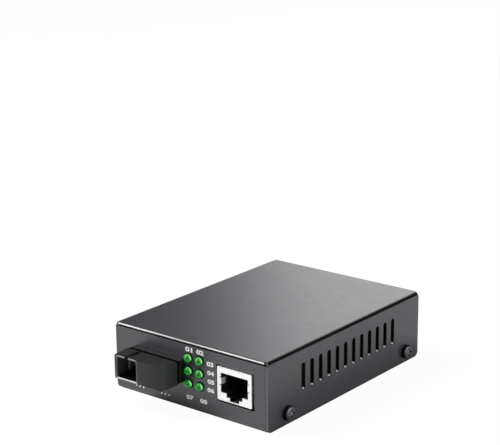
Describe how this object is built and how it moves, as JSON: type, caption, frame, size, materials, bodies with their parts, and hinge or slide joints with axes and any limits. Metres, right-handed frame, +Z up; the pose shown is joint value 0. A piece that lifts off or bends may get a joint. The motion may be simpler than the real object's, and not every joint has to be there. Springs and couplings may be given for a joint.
{
  "type": "fibre media converter",
  "caption": "Small dark steel box with a duplex-shaped optical nose, green indicator lamps and a shielded twisted-pair socket in front, and vent slots in both sides.",
  "frame": {"origin": "middle of the tray's flat underside, centred between the side walls and between the front and rear panels", "axes": "+X to the right seen from the front, +Y from the front panel to the rear panel, +Z up"},
  "size_m": [0.0736, 0.1063, 0.026],
  "materials": {
    "cover_paint": "fine satin powder coat",
    "tray_paint": "fine satin powder coat",
    "black_screw_steel": "black oxide",
    "bright_steel": "plated",
    "board_laminate": "solder mask",
    "dark_moulded_plastic": "fine moulded",
    "black_moulded_plastic": "moulded",
    "grey_moulded_plastic": "moulded",
    "white_ceramic": "polished",
    "tinned_shield": "bright tin plate",
    "gilt_contacts": "gold flash",
    "tinned_metal": "tinned",
    "green_lens": "clear tinted resin",
    "chip_resin": "moulded resin",
    "tan_ceramic": "fired ceramic",
    "can_aluminium": "drawn",
    "grey_ferrite": "sintered",
    "copper_wire": "enamelled"
  },
  "bodies": {
    "root": {"alignment_sleeve": "white_ceramic", "base_tray": "tray_paint", "board_screws": "bright_steel", "board_standoffs": "bright_steel", "capacitor_bases": "black_moulded_plastic", "capacitor_cans": "can_aluminium", "chip_capacitors": "tan_ceramic", "chip_resistors": "chip_resin", "choke_core": "grey_ferrite", "choke_winding": "copper_wire", "circuit_board": "board_laminate", "converter_chip": "chip_resin", "converter_chip_leads": "tinned_metal", "cover_screws": "black_screw_steel", "crystal": "bright_steel", "isolation_transformer": "chip_resin", "jack_contacts": "gilt_contacts", "jack_housing": "black_moulded_plastic", "jack_shield": "tinned_shield", "lamp_holder_left": "black_moulded_plastic", "lamp_holder_right": "black_moulded_plastic", "lamp_leads": "tinned_metal", "lamp_left_bottom": "green_lens", "lamp_left_middle": "green_lens", "lamp_left_top": "green_lens", "lamp_right_bottom": "green_lens", "lamp_right_middle": "green_lens", "lamp_right_top": "green_lens", "memory_chip": "chip_resin", "memory_leads": "tinned_metal", "plug_guide": "grey_moulded_plastic", "power_housing": "black_moulded_plastic", "power_pin": "bright_steel", "power_terminals": "tinned_metal", "regulator_leads": "tinned_metal", "top_cover": "cover_paint", "transceiver_housing": "dark_moulded_plastic", "transceiver_pins": "tinned_metal", "transformer_leads": "tinned_metal", "voltage_regulator": "chip_resin"}
  },
  "joints": []
}
